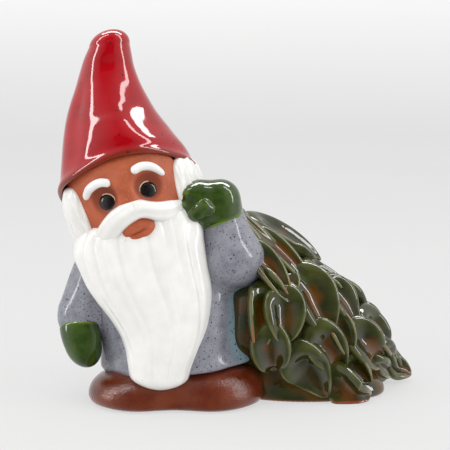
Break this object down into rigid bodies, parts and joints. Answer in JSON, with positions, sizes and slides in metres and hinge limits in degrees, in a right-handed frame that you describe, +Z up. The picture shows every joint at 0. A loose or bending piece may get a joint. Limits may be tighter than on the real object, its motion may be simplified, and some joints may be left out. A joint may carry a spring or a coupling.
{
  "type": "tomte gnome figurine",
  "caption": "Glazed red-earthenware tomte gnome with a tall red hat and a long beard, dragging a felled spruce over one shoulder.",
  "frame": {"origin": "on the standing plane, under the middle of the coat", "axes": "+X to the gnome's left hand, the side of the spruce; +Y to the gnome's back; +Z up to the tip of the hat"},
  "size_m": [0.1324, 0.0662, 0.1351],
  "materials": {
    "red_glaze": "gloss red glaze with sparse dark specks, brown where it thins at the brim",
    "white_glaze": "gloss opaque white glaze, pinkish brown where it thins",
    "bare_clay": "unglazed red earthenware, matt",
    "coat_glaze": "satin grey-blue glaze with fine dark specks",
    "mitten_glaze": "gloss deep green glaze, yellow-green on the edges",
    "spruce_glaze": "gloss olive glaze that pools dark and breaks to orange brown on the ridges",
    "brown_slip": "thin red-brown slip under a satin glaze",
    "black_glaze": "gloss black",
    "cream_glaze": "gloss cream"
  },
  "bodies": {
    "root": {"beard": "white_glaze", "boots": "brown_slip", "branch_01": "spruce_glaze", "branch_02": "spruce_glaze", "branch_03": "spruce_glaze", "branch_04": "spruce_glaze", "branch_05": "spruce_glaze", "branch_06": "spruce_glaze", "branch_07": "spruce_glaze", "branch_08": "spruce_glaze", "branch_09": "spruce_glaze", "branch_10": "spruce_glaze", "branch_11": "spruce_glaze", "branch_12": "spruce_glaze", "branch_13": "spruce_glaze", "branch_14": "spruce_glaze", "branch_15": "spruce_glaze", "branch_16": "spruce_glaze", "branch_17": "spruce_glaze", "branch_18": "spruce_glaze", "branch_19": "spruce_glaze", "branch_20": "spruce_glaze", "branch_21": "spruce_glaze", "branch_22": "spruce_glaze", "branch_23": "spruce_glaze", "branch_24": "spruce_glaze", "branch_25": "spruce_glaze", "branch_26": "spruce_glaze", "branch_27": "spruce_glaze", "branch_28": "spruce_glaze", "branch_29": "spruce_glaze", "branch_30": "spruce_glaze", "branch_31": "spruce_glaze", "branch_32": "spruce_glaze", "coat": "coat_glaze", "eye_left": "black_glaze", "eye_right": "black_glaze", "eye_rim_left": "cream_glaze", "eye_rim_right": "cream_glaze", "eyebrow_left": "white_glaze", "eyebrow_right": "white_glaze", "hair_left": "white_glaze", "hair_right": "white_glaze", "hat": "red_glaze", "head": "bare_clay", "lips": "bare_clay", "mitten_hanging": "mitten_glaze", "mitten_raised": "mitten_glaze", "moustache_left": "white_glaze", "moustache_right": "white_glaze", "nose": "bare_clay", "sleeve_hanging": "coat_glaze", "sleeve_raised": "coat_glaze", "spruce_crown": "spruce_glaze", "spruce_trunk": "spruce_glaze", "sweep_01": "spruce_glaze", "sweep_02": "spruce_glaze", "sweep_03": "spruce_glaze", "sweep_04": "spruce_glaze", "thumb_raised": "mitten_glaze"}
  },
  "joints": []
}
